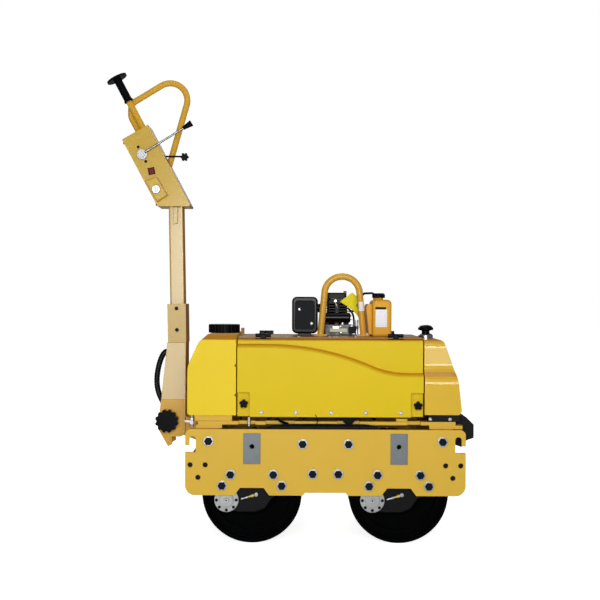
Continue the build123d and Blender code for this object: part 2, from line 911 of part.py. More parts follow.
cleaner_rear = -147.0
cleaner_front = -30.0
cleaner_bottom = 886.0
cleaner_top = 1052.0
with BuildPart() as cleaner:
    with BuildSketch(side_plane(-35)) as cleaner_face:
        with Locations(((cleaner_rear + cleaner_front) / 2, (cleaner_bottom + cleaner_top) / 2)):
            Rectangle(cleaner_front - cleaner_rear, cleaner_top - cleaner_bottom)
        fillet(cleaner_face.vertices(), 22)
    extrude(amount=-135)
    fillet(cleaner.faces().sort_by(Axis.Y)[0].edges(), 9)
    with BuildSketch(side_plane(-35)) as cleaner_panel:
        with Locations(((cleaner_rear + cleaner_front) / 2, (cleaner_bottom + cleaner_top) / 2)):
            Rectangle(cleaner_front - cleaner_rear - 30, cleaner_top - cleaner_bottom - 36)
        fillet(cleaner_panel.vertices(), 12)
    extrude(amount=-3, mode=Mode.SUBTRACT)
    with BuildSketch(end_plane(cleaner_front - 4)):
        with Locations((86, 1000)):
            Circle(20)
    extrude(amount=engine_u - fin_length / 2 - cleaner_front + 4)
    with BuildSketch(Plane.XY.offset(deck_top)):
        with Locations((mid_x + (cleaner_rear + cleaner_front) / 2, 40)):
            Rectangle(60, 50)
    extrude(amount=cleaner_bottom - deck_top + 2)
finish(cleaner, "air_cleaner")

# Fuel tank: a tall pressed tank with its filler at the near end, on a strap bracket
fuel_rear = 212.0
fuel_front = 297.0
fuel_top = 1040.0
fuel_near = -105.0
fuel_depth = 245.0
with BuildPart() as fuel:
    with BuildSketch(side_plane(fuel_near)) as fuel_face:
        with Locations(((fuel_rear + fuel_front) / 2, (deck_top + fuel_top) / 2)):
            Rectangle(fuel_front - fuel_rear, fuel_top - deck_top)
        fillet(fuel_face.vertices().group_by(Axis.Y)[-1], 20)
        fillet(fuel_face.vertices().group_by(Axis.Y)[0], 8)
    extrude(amount=-fuel_depth)
    fillet(fuel.faces().sort_by(Axis.Y)[0].edges(), 12)
    fillet(fuel.faces().sort_by(Axis.Y)[-1].edges(), 12)
    with BuildSketch(Plane.XY.offset(fuel_top - 4)):
        with Locations((mid_x + 242, fuel_near + 55)):
            Circle(21)
    extrude(amount=12)
finish(fuel, "fuel_tank")

with BuildPart() as fuel_cap:
    with BuildSketch(Plane.XY.offset(fuel_top + 8)) as fuel_cap_face:
        with Locations((mid_x + 242, fuel_near + 55)):
            Circle(29)
            with PolarLocations(30, 12):
                Circle(3, mode=Mode.SUBTRACT)
    extrude(amount=17)
    with BuildSketch(Plane.XY.offset(fuel_top + 25)):
        with Locations((mid_x + 242, fuel_near + 55)):
            Circle(24)
    extrude(amount=4)
finish(fuel_cap, "fuel_cap")

with BuildPart() as backing:
    with BuildSketch(side_plane(-60)):
        Polygon(
            (199, deck_top + 8),
            (fuel_rear, deck_top + 8),
            (fuel_rear, 1020),
            (194, 1020),
            (188, 1008),
            (188, 990),
            align=None,
        )
    extrude(amount=-180)
finish(backing, "fuel_backing")

with BuildPart() as fuel_hose:
    with BuildLine() as fuel_line:
        FilletPolyline(
            (mid_x + 226, -4, fuel_top),
            (mid_x + 226, -4, fuel_top + 30),
            (mid_x + 178, 22, fuel_top + 28),
            (mid_x + 142, 112, deck_top + 110),
            (mid_x + engine_u + fin_length / 2, 112, deck_top + 110),
            radius=[14, 18, 14],
        )
    fuel_path = fuel_line.wires()[0]
    with BuildSketch(Plane(origin=fuel_path @ 0, z_dir=fuel_path % 0)):
        Circle(5)
    sweep(path=fuel_path)
finish(fuel_hose, "fuel_hose")

# Front bumper: a faceted rubber block on the front beam
with BuildPart() as bumper:
    with BuildSketch(side_plane(-225)):
        Polygon(
            (beam_u + beam_width / 2, 470),
            (570, 538),
            (612, 532),
            (645, 500),
            (645, 442),
            (613, 431),
            (591, 402),
            (beam_u + beam_width / 2, 420),
            align=None,
        )
    extrude(amount=-450)
finish(bumper, "front_bumper")

# Pivot bracket: two ears on the rear beam that carry the steering arm's pin
beam_rear = -(beam_u + beam_width / 2)
with BuildPart() as ears:
    for way in (-1, 1):
        with BuildSketch(side_plane(way * ear_inner)):
            Polygon(
                (pivot_u, pivot_z + ear_radius),
                (beam_rear, plate_top),
                (beam_rear, plate_top - beam_depth),
                (pivot_u, pivot_z - ear_radius),
                align=None,
            )
            with Locations((pivot_u, pivot_z)):
                Circle(ear_radius)
                Circle(pin_radius + pin_gap, mode=Mode.SUBTRACT)
        extrude(amount=-way * (ear_outer - ear_inner))
    with BuildSketch(side_plane(-ear_outer)):
        with Locations((beam_rear - 5, plate_top - beam_depth / 2)):
            Rectangle(10, beam_depth)
    extrude(amount=-2 * ear_outer)
finish(ears, "pivot_bracket")

# Pivot pin with its big scalloped clamping knob on the right and a collar on the left
knob_face = cheek_outer + doubler + 1
with BuildPart() as pin:
    with BuildSketch(side_plane(-knob_face)):
        with Locations((pivot_u, pivot_z)):
            Circle(pin_radius)
    extrude(amount=-2 * knob_face)
    with BuildSketch(side_plane(knob_face)):
        with Locations((pivot_u, pivot_z)):
            Circle(24)
    extrude(amount=-14)
    with BuildSketch(side_plane(-knob_face)):
        with Locations((pivot_u, pivot_z)):
            Circle(28)
    extrude(amount=14)
    with BuildSketch(side_plane(-knob_face - 14)) as knob_outline:
        with Locations((pivot_u, pivot_z)):
            Circle(51)
            with PolarLocations(54, 12):
                Circle(9, mode=Mode.SUBTRACT)
    extrude(amount=30)
finish(pin, "pivot_knob")

# Steering arm: a folded channel with claw-shaped cheeks
arm_outline = (
    (arm_rear_top, arm_top),
    (-730, 590),
    (-736, 535),
    (-739, 452),
    (-698, 380),
    (-680, 390),
    (-680, 424),
    (-622, 424),
    (arm_front, arm_top),
)
with BuildPart() as arm:
    for way in (-1, 1):
        with BuildSketch(side_plane(way * cheek_inner)) as cheek:
            Polygon(*arm_outline, align=None)
            fillet(cheek.vertices().sort_by_distance((-622, 424))[0], 26)
            with Locations((pivot_u, pivot_z)):
                Circle(pin_radius + pin_gap, mode=Mode.SUBTRACT)
        extrude(amount=-way * (cheek_outer - cheek_inner))
        with BuildSketch(side_plane(way * cheek_outer)) as doubling:
            Polygon(
                (-730, 590),
                (-736, 535),
                (-739, 452),
                (-698, 380),
                (-680, 390),
                (-680, 424),
                (-622, 424),
                (-621, 590),
                align=None,
            )
            fillet(doubling.vertices().sort_by_distance((-622, 424))[0], 26)
            with Locations((pivot_u, pivot_z)):
                Circle(pin_radius + pin_gap, mode=Mode.SUBTRACT)
        extrude(amount=-way * doubler)
    with BuildSketch(side_plane(-cheek_inner)):
        Polygon(
            (arm_rear_top, arm_top),
            (-730, 590),
            (-724, 590),
            (arm_rear_top + 6, arm_top),
            align=None,
        )
        Polygon(
            (arm_front, arm_top),
            (arm_front, 630),
            (arm_front - 6, 630),
            (arm_front - 6, arm_top),
            align=None,
        )
    extrude(amount=-2 * cheek_inner)
finish(arm, "steering_arm")

# Clamp sleeve and the column that stands in it
lean_x = -sin(radians(column_lean))
lean_z = cos(radians(column_lean))


def column_plane(z):
    """A plane square to the column where its axis passes the height z."""
    u = column_axis_u - (z - column_axis_z) * tan(radians(column_lean))
    return Plane(origin=(mid_x + u, 0, z), x_dir=(lean_z, 0, -lean_x), z_dir=(lean_x, 0, lean_z))


with BuildPart() as sleeve:
    with BuildSketch(column_plane(arm_top - 5)):
        Rectangle(sleeve_length, 2 * cheek_outer)
        Rectangle(column_length + 0.6, column_width + 0.6, mode=Mode.SUBTRACT)
    extrude(amount=sleeve_height + 5)
    with BuildSketch(Plane.XY.offset(arm_top)):
        with Locations((mid_x + column_axis_u, 0)):
            Rectangle(3 * sleeve_length, 3 * cheek_outer)
    extrude(amount=-40, mode=Mode.SUBTRACT)
finish(sleeve, "clamp_sleeve")

with BuildPart() as column:
    with BuildSketch(column_plane(arm_top + 8)) as column_face:
        Rectangle(column_length, column_width)
        fillet(column_face.vertices(), 7)
        with Locations((0, 0)):
            Rectangle(
                column_length - 2 * column_wall, column_width - 2 * column_wall, mode=Mode.SUBTRACT
            )
    extrude(amount=(column_top - arm_top - 8) / lean_z + 10)
    with BuildSketch(Plane.XY.offset(column_top)):
        with Locations((mid_x + column_axis_u, 0)):
            Rectangle(3 * column_length, 2 * column_width)
    extrude(amount=40, mode=Mode.SUBTRACT)
    with BuildSketch(side_plane(column_width / 2)):
        Polygon((-681, column_top - 2), (-663, column_top - 2), (-663, 1380), (-681, 1376), align=None)
    extrude(amount=-14)
    with BuildSketch(side_plane(-column_width / 2)):
        Polygon((-681, column_top - 2), (-663, column_top - 2), (-663, 1380), (-681, 1376), align=None)
    extrude(amount=14)
finish(column, "column")

# Control head: a folded box leaning back from the column's top
head_outline = (
    (-910, 1751),
    (-794, 1818),
    (-604, 1460),
    (-607, column_top),
    (-750, column_top),
    (-757, 1466),
)
with BuildPart() as head:
    with BuildSketch(side_plane(-head_half)):
        Polygon(*head_outline, align=None)
    extrude(amount=-2 * head_half)
    with BuildSketch(side_plane(-head_half + head_wall)):
        Polygon(*head_outline, align=None)
        offset(amount=-head_wall, mode=Mode.REPLACE)
    extrude(amount=-2 * (head_half - head_wall), mode=Mode.SUBTRACT)
    with BuildSketch(column_plane(column_top - 10)):
        Rectangle(column_length - 2 * column_wall, column_width - 2 * column_wall)
    extrude(amount=30, mode=Mode.SUBTRACT)
    with BuildSketch(side_plane(-head_half)) as key_box:
        Polygon((-801, 1562), (-752, 1579), (-707, 1504), (-748, 1476), align=None)
    extrude(amount=22)
finish(head, "control_head")

grip_dir = (-sin(radians(head_lean)), cos(radians(head_lean)))
grip_foot = (-891.0, 1934.0)


def grip_plane(along):
    """A plane square to the grip's axis, at a distance along it from the grip's foot."""
    return Plane(
        origin=(
            mid_x + grip_foot[0] + along * grip_dir[0],
            0,
            grip_foot[1] + along * grip_dir[1],
        ),
        x_dir=(grip_dir[1], 0, -grip_dir[0]),
        z_dir=(grip_dir[0], 0, grip_dir[1]),
    )


with BuildPart() as post:
    with BuildSketch(grip_plane(0)):
        Circle(handle_tube / 2)
    extrude(amount=-160)
    with BuildSketch(side_plane(-head_half)):
        Polygon(*head_outline, align=None)
    extrude(amount=-2 * head_half, mode=Mode.SUBTRACT)
finish(post, "grip_post")

with BuildPart() as grip:
    with BuildSketch(grip_plane(0)):
        Circle(grip_radius + 3)
    extrude(amount=8)
    with BuildSketch(grip_plane(8)):
        Circle(grip_radius)
    extrude(amount=grip_length - 8)
    with BuildSketch(grip_plane(grip_length)):
        Circle(disc_radius)
    extrude(amount=9)
    chamfer(grip.edges().filter_by(GeomType.CIRCLE).sort_by(Axis.Z)[-1], 2)
finish(grip, "stop_plunger")

with BuildPart() as loop:
    with BuildLine(side_plane(loop_y)) as loop_line:
        FilletPolyline(
            (-712, 1642),
            (-579, 2116),
            (-886, 1929),
            (-886, 1868),
            (-850, 1802),
            radius=[78, 40, 58],
        )
    loop_path = loop_line.wires()[0]
    with BuildSketch(Plane(origin=loop_path @ 0, z_dir=loop_path % 0)):
        Circle(handle_tube / 2)
    sweep(path=loop_path)
    with BuildSketch(side_plane(-head_half)):
        Polygon(*head_outline, align=None)
    extrude(amount=-2 * head_half, mode=Mode.SUBTRACT)
finish(loop, "hand_loop")

# Travel lever on the head's right face
lever_foot = (-818.5, 1684.0)
lever_angle = 32.1
lever_length = 216.0
lever_y = head_half + 18
with BuildPart() as lever:
    with BuildSketch(side_plane(-head_half)):
        with Locations(lever_foot):
            Circle(22)
    extrude(amount=12)
    with BuildSketch(
        Plane(
            origin=(mid_x + lever_foot[0], -lever_y, lever_foot[1]),
            x_dir=(0, 1, 0),
            z_dir=(cos(radians(lever_angle)), 0, sin(radians(lever_angle))),
        )
    ):
        Circle(4.5)
    extrude(amount=lever_length)
    with BuildSketch(side_plane(-head_half - 12)):
        with Locations(lever_foot):
            Circle(14)
    extrude(amount=12)
finish(lever, "travel_lever")

# Black knobs of the two controls: the lever's tapered knob, and the throttle's star knob on a
# stem out of the head's front face
with BuildPart() as knobs:
    with BuildSketch(
        Plane(
            origin=(
                mid_x + lever_foot[0] + lever_length * cos(radians(lever_angle)),
                -lever_y,
                lever_foot[1] + lever_length * sin(radians(lever_angle)),
            ),
            x_dir=(0, 1, 0),
            z_dir=(cos(radians(lever_angle)), 0, sin(radians(lever_angle))),
        )
    ):
        Circle(8)
    extrude(amount=46, taper=-8)
    with BuildSketch(end_plane(-724)):
        with Locations((0, 1686)):
            Circle(4)
    extrude(amount=72)
    with BuildSketch(side_plane(-9)):
        with Locations((-638, 1684)):
            Circle(13)
            with PolarLocations(13, 6):
                Circle(6)
    extrude(amount=-18)
    with BuildSketch(side_plane(-head_half)):
        Polygon(*head_outline, align=None)
    extrude(amount=-2 * head_half, mode=Mode.SUBTRACT)
finish(knobs, "control_knobs")

# Hose that bows out behind the steering arm
with BuildPart() as arm_hose:
    with BuildLine(side_plane(0)) as hose_line:
        FilletPolyline(
            (-708.3, 802),
            (-731, 804.3),
            (-760, 690),
            (-738, 560),
            (-716, 548),
            radius=[17, 90, 10],
        )
    hose_path = hose_line.wires()[0]
    with BuildSketch(Plane(origin=hose_path @ 0, z_dir=hose_path % 0)):
        Circle(hose_radius)
    sweep(path=hose_path)
finish(arm_hose, "arm_hose")
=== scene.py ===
"""Looks of a walk-behind double drum roller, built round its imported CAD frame."""

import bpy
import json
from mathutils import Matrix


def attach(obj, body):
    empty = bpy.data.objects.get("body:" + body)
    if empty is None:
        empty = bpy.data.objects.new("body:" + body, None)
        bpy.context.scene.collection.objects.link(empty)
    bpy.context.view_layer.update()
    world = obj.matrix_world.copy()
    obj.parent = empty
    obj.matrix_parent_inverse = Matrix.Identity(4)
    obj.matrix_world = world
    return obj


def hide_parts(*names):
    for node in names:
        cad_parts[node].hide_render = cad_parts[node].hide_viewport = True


bl_info = {
    "name": "Walk-behind roller looks",
    "version": (1, 0, 0),
    "blender": (4, 5, 0),
    "location": "View3D > Sidebar > Roller",
    "description": "Finishes, small pieces, light and camera of a double drum roller",
    "category": "Object",
}

import json
import math

import bmesh
import bpy
from mathutils import Matrix, Vector

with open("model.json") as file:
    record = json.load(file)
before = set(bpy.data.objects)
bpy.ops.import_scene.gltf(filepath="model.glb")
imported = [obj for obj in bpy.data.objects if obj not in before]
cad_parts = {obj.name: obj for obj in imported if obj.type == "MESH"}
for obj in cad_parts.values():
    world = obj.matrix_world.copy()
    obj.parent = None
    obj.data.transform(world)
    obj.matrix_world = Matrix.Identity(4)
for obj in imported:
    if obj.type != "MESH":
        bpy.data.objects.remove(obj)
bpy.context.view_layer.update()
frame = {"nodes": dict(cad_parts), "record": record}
NODES = frame["nodes"]

# The middle between the drums along X, and the outer faces of the side plates.
MID_X = 0.174
PLATE_Y = 0.326
MM = 0.001
# Places on the frame, in mm: u is the distance forward of the middle between the drums.
DRUM_U = 312.5
FLANGE_BEHIND_DRUM = 110
FLANGE_Z = 179.5
COVER_Y = 300
CLEANER_Y = -32
HEAD_Y = -80
# Heights at which one node changes its finish, and the washer's face on a side plate.
CYLINDER_TOP = 0.925
BREATHER_COLLAR_TOP = 0.89
# Below this height the steering arm takes the bail's paint as painted shade.
ARM_DOUBLER_TOP = 0.612
WASHER_FACE_Y = PLATE_Y + 4.5 * MM
# The painted band of a drum's grease fitting: its middle and half width along X, and its top.
FITTING_MIDDLE = -0.001
FITTING_HALF_BAND = 0.009
FITTING_BAND_TOP = 0.2125
# How far a face's normal leans forward on the arm's edges and on the head's sloping edge; faces
# past it take painted shade.
ARM_EDGE_LEAN = 0.7
HEAD_EDGE_LEAN = 0.5
# Put before the name of every finish, so that none shares a name with the frame's own.
LOOK = "look_"


def place(u, y, z):
    """A point from u, the distance forward of the middle between the drums, with y and z, in mm."""
    return Vector((MID_X + u * MM, y * MM, z * MM))


# Materials


def new_group(name, outputs, inputs):
    """A shader node group with named value inputs and outputs."""
    group = bpy.data.node_groups.new(name, "ShaderNodeTree")
    for label, default in inputs:
        socket = group.interface.new_socket(label, in_out="INPUT", socket_type="NodeSocketFloat")
        socket.default_value = default
    for label, kind in outputs:
        group.interface.new_socket(label, in_out="OUTPUT", socket_type=kind)
    return group


def grain_group():
    """Unevenness of a finish: soft patches, how far it faces up for the painted shade, and a
    rounded rough normal.
    """
    group = new_group(
        "RollerGrain",
        (("Mask", "NodeSocketFloat"), ("Up", "NodeSocketFloat"), ("Normal", "NodeSocketVector")),
        (("Patch Scale", 6.0), ("Grain Scale", 400.0), ("Bump", 0.05), ("Edge", 0.0025)),
    )
    nodes, links = group.nodes, group.links
    source = nodes.new("NodeGroupInput")
    result = nodes.new("NodeGroupOutput")
    coords = nodes.new("ShaderNodeTexCoord")
    patches = nodes.new("ShaderNodeTexNoise")
    patches.inputs["Detail"].default_value = 4.0
    grain = nodes.new("ShaderNodeTexNoise")
    grain.inputs["Detail"].default_value = 2.0
    bump = nodes.new("ShaderNodeBump")
    bump.inputs["Distance"].default_value = 0.0001
    rounding = nodes.new("ShaderNodeBevel")
    rounding.samples = 10
    links.new(coords.outputs["Object"], patches.inputs["Vector"])
    links.new(coords.outputs["Object"], grain.inputs["Vector"])
    links.new(source.outputs["Patch Scale"], patches.inputs["Scale"])
    links.new(source.outputs["Grain Scale"], grain.inputs["Scale"])
    links.new(source.outputs["Bump"], bump.inputs["Strength"])
    links.new(grain.outputs["Fac"], bump.inputs["Height"])
    links.new(source.outputs["Edge"], rounding.inputs["Radius"])
    links.new(rounding.outputs["Normal"], bump.inputs["Normal"])
    # Upward is measured in the object's own axes, so a lifted cover keeps its colours.
    own = nodes.new("ShaderNodeVectorTransform")
    own.vector_type = "NORMAL"
    own.convert_from = "WORLD"
    own.convert_to = "OBJECT"
    parts = nodes.new("ShaderNodeSeparateXYZ")
    upward = nodes.new("ShaderNodeMapRange")
    upward.inputs["From Min"].default_value = 0.05
    upward.inputs["From Max"].default_value = 0.8
    links.new(rounding.outputs["Normal"], own.inputs["Vector"])
    links.new(own.outputs["Vector"], parts.inputs["Vector"])
    links.new(parts.outputs["Z"], upward.inputs["Value"])
    links.new(patches.outputs["Fac"], result.inputs["Mask"])
    links.new(upward.outputs["Result"], result.inputs["Up"])
    links.new(bump.outputs["Normal"], result.inputs["Normal"])
    return group


def finish(name, colour, rough, metal, coat, patch, grain, bump, vary, specular=0.5,
           top_shade=1.0, coat_rough=0.13, edge=0.0025):
    """A Principled material whose colour and roughness vary a little over the object.

    Its colour deepens towards a darker amber by the top shade factor where the surface faces up:
    painted shade on upward faces.
    """
    material = bpy.data.materials.new(LOOK + name)
    material.use_nodes = True
    tree = material.node_tree
    shader = tree.nodes["Principled BSDF"]
    shader.inputs["Metallic"].default_value = metal
    shader.inputs["Coat Weight"].default_value = coat
    shader.inputs["Coat Roughness"].default_value = coat_rough
    shader.inputs["Specular IOR Level"].default_value = specular
    effect = tree.nodes.new("ShaderNodeGroup")
    effect.node_tree = bpy.data.node_groups["RollerGrain"]
    effect.inputs["Patch Scale"].default_value = patch
    effect.inputs["Grain Scale"].default_value = grain
    effect.inputs["Bump"].default_value = bump
    effect.inputs["Edge"].default_value = edge
    ramp = tree.nodes.new("ShaderNodeMapRange")
    ramp.inputs["To Min"].default_value = 1.0 - vary
    ramp.inputs["To Max"].default_value = 1.0 + vary
    tint = tree.nodes.new("ShaderNodeVectorMath")
    tint.operation = "SCALE"
    # Painted shade: faces turned up take a darker, more orange copy of the colour.
    painted_top_shade = tree.nodes.new("ShaderNodeMix")
    painted_top_shade.data_type = "RGBA"
    painted_top_shade.inputs["A"].default_value = (*colour, 1)
    painted_top_shade.inputs["B"].default_value = (colour[0] * top_shade, colour[1] * top_shade ** 2.2,
                                      colour[2] * top_shade ** 2, 1)
    gloss = tree.nodes.new("ShaderNodeMath")
    gloss.operation = "MULTIPLY"
    gloss.inputs[1].default_value = rough
    tree.links.new(effect.outputs["Mask"], ramp.inputs["Value"])
    tree.links.new(ramp.outputs["Result"], tint.inputs["Scale"])
    tree.links.new(effect.outputs["Up"], painted_top_shade.inputs["Factor"])
    tree.links.new(painted_top_shade.outputs["Result"], tint.inputs[0])
    tree.links.new(tint.outputs["Vector"], shader.inputs["Base Color"])
    tree.links.new(ramp.outputs["Result"], gloss.inputs[0])
    tree.links.new(gloss.outputs["Value"], shader.inputs["Roughness"])
    tree.links.new(effect.outputs["Normal"], shader.inputs["Normal"])
    tree.links.new(effect.outputs["Normal"], shader.inputs["Coat Normal"])
    return material


class RollerPaint(bpy.types.PropertyGroup):
    """Colours of the painted and moulded pieces."""

    frame_colour: bpy.props.FloatVectorProperty(
        name="Frame", description="Golden paint of the frame and side plates", subtype="COLOR",
        size=3, min=0, max=1, default=(0.76, 0.485, 0.05),
    )
    cover_colour: bpy.props.FloatVectorProperty(
        name="Covers", description="Lemon paint of the side covers", subtype="COLOR",
        size=3, min=0, max=1, default=(0.8, 0.58, 0.012),
    )
    tank_colour: bpy.props.FloatVectorProperty(
        name="Water tank", description="Moulded yellow of the water tank", subtype="COLOR",
        size=3, min=0, max=1, default=(0.91, 0.66, 0.026),
    )
    arm_colour: bpy.props.FloatVectorProperty(
        name="Arm", description="Amber paint of the arm and column", subtype="COLOR",
        size=3, min=0, max=1, default=(0.55, 0.355, 0.045),
    )
    oil_colour: bpy.props.FloatVectorProperty(
        name="Oil tank", description="Amber paint of the oil tank", subtype="COLOR",
        size=3, min=0, max=1, default=(0.8, 0.51, 0.04),
    )
    loop_colour: bpy.props.FloatVectorProperty(
        name="Hand loop", description="Amber paint of the hand loop and the grip's post",
        subtype="COLOR", size=3, min=0, max=1, default=(0.74, 0.42, 0.04),
    )
    # Painted shade: this dark brown stands for shade on the forward faces of arm, column and head,
    # and on the deck.
    edge_colour: bpy.props.FloatVectorProperty(
        name="Arm edges", description="Shaded paint of the forward edges and the deck",
        subtype="COLOR", size=3, min=0, max=1, default=(0.42, 0.18, 0.025),
    )
    head_colour: bpy.props.FloatVectorProperty(
        name="Head", description="Amber paint of the control head", subtype="COLOR",
        size=3, min=0, max=1, default=(0.64, 0.42, 0.045),
    )
    bail_colour: bpy.props.FloatVectorProperty(
        name="Bail", description="Amber paint of the bail and the pivot bracket",
        subtype="COLOR", size=3, min=0, max=1, default=(0.74, 0.41, 0.035),
    )
    fuel_colour: bpy.props.FloatVectorProperty(
        name="Fuel tank", description="Orange paint of the fuel tank", subtype="COLOR",
        size=3, min=0, max=1, default=(0.84, 0.43, 0.03),
    )


class RollerStage(bpy.types.PropertyGroup):
    """Camera and lights."""

    camera_distance: bpy.props.FloatProperty(
        name="Camera distance", description="From the camera to the near side plate",
        unit="LENGTH", default=4.7,
    )
    camera_height: bpy.props.FloatProperty(
        name="Camera height", description="Height of the camera over the floor",
        unit="LENGTH", default=1.037,
    )
    camera_lens: bpy.props.FloatProperty(
        name="Lens", description="Focal length of the camera", unit="CAMERA", default=66.4,
    )
    key_power: bpy.props.FloatProperty(
        name="Lights", description="Power of the tall strip light; the others follow it",
        unit="POWER", default=50.0,
    )
    world_strength: bpy.props.FloatProperty(
        name="Surroundings", description="Strength of the light from all round", default=0.25,
    )


# Which finish each material slot of the record takes: colour property or plain colour, roughness,
# metal, clear coat, patch scale, grain scale, bump and how far the colour varies. Some go on with
# specular level, top shade factor (painted shade on upward faces), roughness of the coat and
# radius of the rounded edges.
FINISHES = {
    "frame_yellow": ("frame_colour", 0.42, 0.0, 0.0, 3.0, 260.0, 0.03, 0.05, 0.22, 0.75),
    "cover_yellow": ("cover_colour", 0.33, 0.0, 0.0, 3.0, 200.0, 0.03, 0.04, 0.1, 0.74),
    "tank_yellow": ("tank_colour", 0.4, 0.0, 0.0, 3.0, 300.0, 0.03, 0.04, 0.12, 0.65),
    "amber_paint": ("arm_colour", 0.34, 0.0, 1.0, 3.0, 200.0, 0.02, 0.05, 0.4),
    "fuel_paint": ("fuel_colour", 0.3, 0.0, 0.0, 3.0, 200.0, 0.02, 0.05, 0.1, 0.85),
    "black_paint": ((0.003, 0.003, 0.0035), 0.38, 0.0, 0.0, 5.0, 300.0, 0.03, 0.2, 0.15),
    "black_plastic": ((0.002, 0.0025, 0.0035), 0.36, 0.0, 0.0, 8.0, 700.0, 0.03, 0.15, 0.07),
    "black_rubber": ((0.006, 0.006, 0.007), 0.62, 0.0, 0.0, 8.0, 500.0, 0.1, 0.2, 0.2),
    "zinc_steel": ((0.46, 0.47, 0.48), 0.34, 1.0, 0.0, 30.0, 500.0, 0.03, 0.12),
    "bare_steel": ((0.17, 0.19, 0.2), 0.5, 1.0, 0.0, 22.0, 300.0, 0.06, 0.3),
    "cast_aluminium": ((0.12, 0.12, 0.12), 0.5, 1.0, 0.0, 45.0, 350.0, 0.2, 0.6),
    "drum_steel": ((0.001, 0.0012, 0.0016), 0.3, 0.0, 0.0, 7.0, 120.0, 0.1, 0.3, 0.02),
    "engine_iron": ((0.05, 0.05, 0.05), 0.6, 0.0, 0.0, 10.0, 300.0, 0.2, 0.2),
}
# Finishes of single nodes, of single faces and of pieces that only this script adds.
TRIM_FINISHES = {
    "oil_paint": ("oil_colour", 0.36, 0.0, 0.7, 3.0, 200.0, 0.0, 0.05, 0.1, 0.8, 0.015),
    "head_paint": ("head_colour", 0.36, 0.0, 0.5, 3.0, 200.0, 0.02, 0.05, 0.3),
    "bail_paint": ("bail_colour", 0.36, 0.0, 0.25, 3.0, 200.0, 0.01, 0.05, 0.2),
    "loop_paint": ("loop_colour", 0.46, 0.0, 0.0, 3.0, 200.0, 0.0, 0.05, 0.12, 1.0, 0.3, 0.007),
    "sleeve_paint": ("arm_colour", 0.34, 0.0, 0.4, 3.0, 200.0, 0.02, 0.05, 0.35),
    # The deck's amber paint with painted shade: its top takes the dark brown shade colour.
    "deck_paint": ("edge_colour", 0.25, 0.0, 0.0, 3.0, 200.0, 0.01, 0.15, 0.15),
    # Painted shade on the forward faces of arm, sleeve, column and head.
    "edge_paint": ("edge_colour", 0.5, 0.0, 0.0, 3.0, 200.0, 0.01, 0.05, 0.15),
    "gloss_black": ((0.001, 0.001, 0.0015), 0.2, 0.0, 0.0, 8.0, 300.0, 0.01, 0.1, 0.2),
    "cleaner_face": ((0.003, 0.004, 0.006), 0.4, 0.0, 0.0, 8.0, 700.0, 0.03, 0.15, 0.07),
    # Painted shade for the notches in the covers' rear seams.
    "seam_brown": ((0.27, 0.12, 0.01), 0.5, 0.0, 0.0, 8.0, 300.0, 0.0, 0.05, 0.05),
    "dark_chrome": ((0.4, 0.4, 0.41), 0.3, 1.0, 0.0, 30.0, 400.0, 0.0, 0.1, 0.5, 1.0, 0.1, 0.0),
    "lever_steel": ((0.02, 0.02, 0.024), 0.34, 0.0, 0.0, 30.0, 400.0, 0.0, 0.1, 0.6, 1.0, 0.1,
                    0.004),
    "dark_hex": ((0.004, 0.007, 0.012), 0.4, 0.0, 0.0, 40.0, 400.0, 0.03, 0.2, 0.08),
    "chrome_screw": ((0.66, 0.66, 0.68), 0.34, 1.0, 0.0, 30.0, 400.0, 0.0, 0.05, 0.5, 1.0, 0.1,
                     0.0),
    "label_white": ((0.95, 0.95, 1.0), 0.4, 0.0, 0.0, 10.0, 300.0, 0.02, 0.03),
    "tag_yellow": ((0.95, 0.85, 0.01), 0.42, 0.0, 0.0, 10.0, 300.0, 0.02, 0.03, 0.1),
    "switch_red": ((0.19, 0.003, 0.004), 0.25, 0.0, 0.0, 10.0, 300.0, 0.01, 0.05, 0.15),
    "lever_brown": ((0.13, 0.02, 0.03), 0.4, 0.0, 0.0, 10.0, 300.0, 0.02, 0.1),
    "plate_cream": ((0.6, 0.62, 0.42), 0.4, 0.0, 0.0, 10.0, 300.0, 0.02, 0.1),
    "wire_olive": ((0.12, 0.14, 0.03), 0.4, 0.0, 0.0, 10.0, 300.0, 0.02, 0.1),
    "hose_ridge": ((0.03, 0.03, 0.03), 0.3, 0.0, 0.0, 10.0, 300.0, 0.02, 0.2, 0.6),
    "fitting_yellow": ((0.7, 0.55, 0.05), 0.35, 0.3, 0.0, 30.0, 300.0, 0.03, 0.1),
}
# Nodes whose finish in the photograph differs from that of their material slot.
NODE_FINISHES = {
    "oil_tank": "oil_paint",
    "lifting_bail": "bail_paint",
    "pivot_bracket": "bail_paint",
    # The deck plate takes the dark brown shade colour as painted shade on its amber top.
    "deck_plate": "deck_paint",
    "hand_loop": "loop_paint",
    "grip_post": "loop_paint",
    "clamp_sleeve": "sleeve_paint",
    "muffler": "gloss_black",
    "air_cleaner": "gloss_black",
    "travel_lever": "lever_steel",
    "control_head": "head_paint",
    "drain_tap": "dark_chrome",
}
